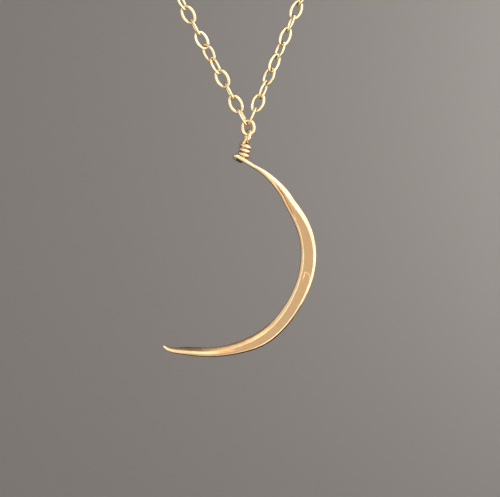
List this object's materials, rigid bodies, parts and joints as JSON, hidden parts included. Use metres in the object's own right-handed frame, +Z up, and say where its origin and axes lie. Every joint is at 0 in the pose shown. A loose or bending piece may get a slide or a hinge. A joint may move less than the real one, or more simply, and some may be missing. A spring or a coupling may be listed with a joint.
{
  "type": "crescent moon pendant necklace",
  "caption": "Hammered gold crescent moon hanging from a wire-wrapped loop and an oval ring on a fine cable chain.",
  "frame": {"origin": "middle of the clasp, where the necklace rests on the nape of the neck", "axes": "+Z up, -Y to the front where the moon hangs, +X to the right as seen from the front"},
  "size_m": [0.1206, 0.106, 0.1646],
  "materials": {
    "hammered_gold": "hammered and polished",
    "chain_gold": "polished",
    "ring_gold": "polished",
    "clasp_gold": "polished"
  },
  "bodies": {
    "necklace": {"chain_left": "chain_gold", "chain_right": "chain_gold", "centre_ring": "ring_gold", "clasp": "clasp_gold", "end_ring": "clasp_gold"},
    "pendant": {"crescent_moon": "hammered_gold"}
  },
  "joints": [
    {"name": "pendant_swing", "type": "hinge", "parent": "necklace", "child": "pendant", "pos_m": [0.0065, -0.1025, -0.11935], "axis": [1, 0, 0], "range_deg": [-90, 90]}
  ]
}
